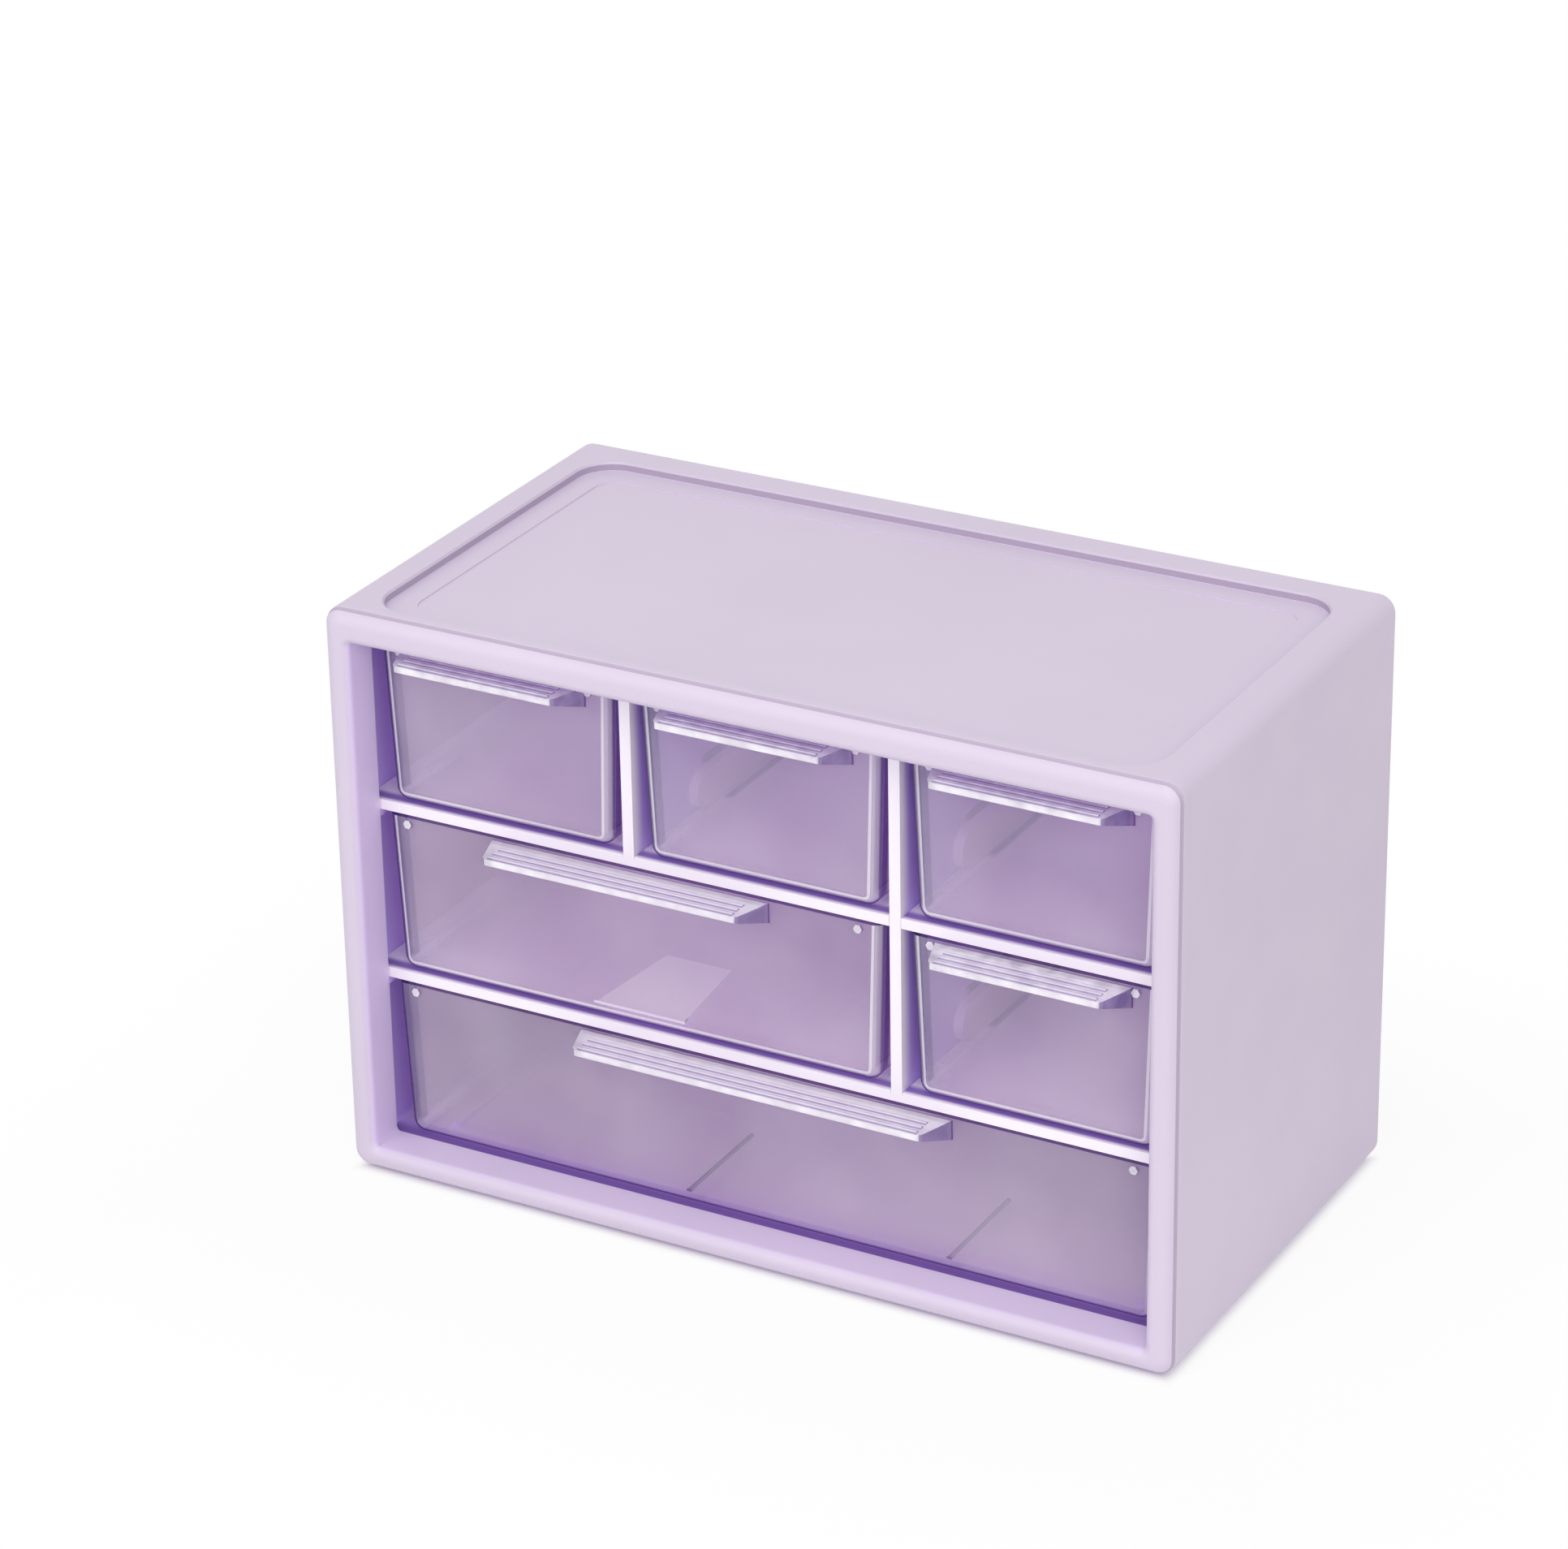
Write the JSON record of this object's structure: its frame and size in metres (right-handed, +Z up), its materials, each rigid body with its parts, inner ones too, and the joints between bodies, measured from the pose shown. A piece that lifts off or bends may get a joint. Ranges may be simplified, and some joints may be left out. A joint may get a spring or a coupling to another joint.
{
  "type": "mini desktop drawer box",
  "caption": "Small desktop cabinet with a rounded front frame, a recessed top and clear drafted drawers of different widths that slide out by ribbed, hooded pulls.",
  "frame": {"origin": "on the table under the middle of the cabinet, at the bottom centre of the bounding box", "axes": "+X to the right seen from the front, +Y to the back, +Z up"},
  "size_m": [0.185, 0.1, 0.125],
  "materials": {
    "lilac_shell": "satin moulded",
    "pale_inserts": "satin moulded",
    "clear_drawers": "clear polished"
  },
  "bodies": {
    "cabinet": {"body_shell": "lilac_shell", "front_frame": "lilac_shell", "back_panel": "lilac_shell", "upper_shelf": "pale_inserts", "lower_shelf": "pale_inserts", "left_divider": "pale_inserts", "right_divider": "pale_inserts"},
    "top left drawer": {"top_left_drawer": "clear_drawers"},
    "top middle drawer": {"top_middle_drawer": "clear_drawers"},
    "top right drawer": {"top_right_drawer": "clear_drawers"},
    "middle wide drawer": {"middle_wide_drawer": "clear_drawers"},
    "middle small drawer": {"middle_small_drawer": "clear_drawers"},
    "bottom drawer": {"bottom_drawer": "clear_drawers"}
  },
  "joints": [
    {"name": "top_left_slide", "type": "slide", "parent": "cabinet", "child": "top left drawer", "axis": [0, -1, 0], "range_m": [0, 0.07]},
    {"name": "top_middle_slide", "type": "slide", "parent": "cabinet", "child": "top middle drawer", "axis": [0, -1, 0], "range_m": [0, 0.07]},
    {"name": "top_right_slide", "type": "slide", "parent": "cabinet", "child": "top right drawer", "axis": [0, -1, 0], "range_m": [0, 0.07]},
    {"name": "middle_wide_slide", "type": "slide", "parent": "cabinet", "child": "middle wide drawer", "axis": [0, -1, 0], "range_m": [0, 0.07]},
    {"name": "middle_small_slide", "type": "slide", "parent": "cabinet", "child": "middle small drawer", "axis": [0, -1, 0], "range_m": [0, 0.07]},
    {"name": "bottom_slide", "type": "slide", "parent": "cabinet", "child": "bottom drawer", "axis": [0, -1, 0], "range_m": [0, 0.07]}
  ]
}
